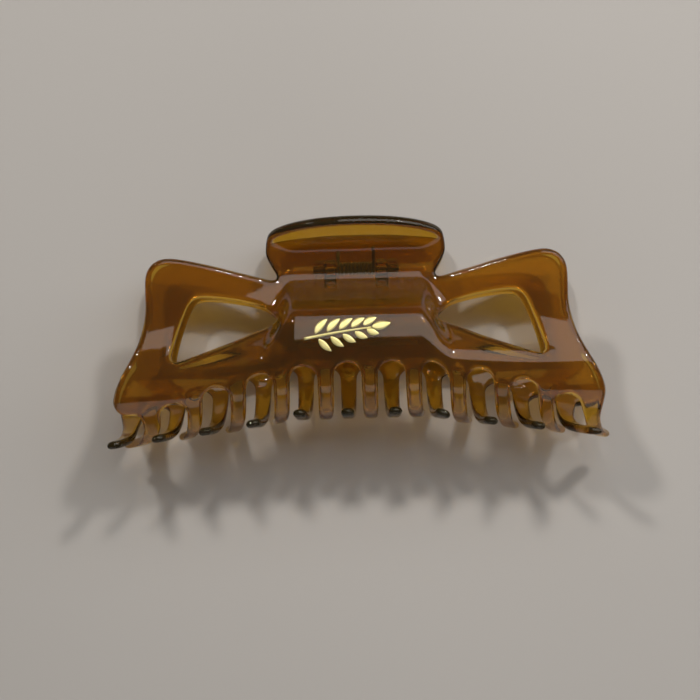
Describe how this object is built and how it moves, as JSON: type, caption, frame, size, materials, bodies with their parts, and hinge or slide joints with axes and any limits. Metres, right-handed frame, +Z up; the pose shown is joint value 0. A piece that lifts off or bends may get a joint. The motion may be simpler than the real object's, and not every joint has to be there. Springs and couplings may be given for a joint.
{
  "type": "claw clip",
  "caption": "Large spring-hinged claw hair clip: two curved, windowed plastic half shells with interleaving teeth, finger handles and a foil emblem.",
  "frame": {"origin": "centre of the footprint of the lying clip, on the table, z = 0", "axes": "+X along the clip and its hinge pin, +Y from the teeth towards the handles, +Z up: the clip lies on its back half with the front half on top"},
  "size_m": [0.1344, 0.0608, 0.0365],
  "materials": {
    "amber_plastic": "translucent amber, polished",
    "pin_steel": "plain drawn pin",
    "spring_steel": "plain drawn wire",
    "gold_foil": "hot stamped metallic foil"
  },
  "bodies": {
    "back": {"back_half": "amber_plastic", "hinge_pin": "pin_steel", "torsion_spring": "spring_steel"},
    "front": {"front_half": "amber_plastic", "emblem": "gold_foil"}
  },
  "joints": [
    {"name": "jaw_hinge", "type": "hinge", "parent": "back", "child": "front", "pos_m": [0, 0.01645, 0.01713], "axis": [-1, 0, 0], "range_deg": [0, 85], "stiffness_Nm_per_rad": 0.15, "springref_deg": -45.84, "deforming": ["torsion_spring"]}
  ]
}
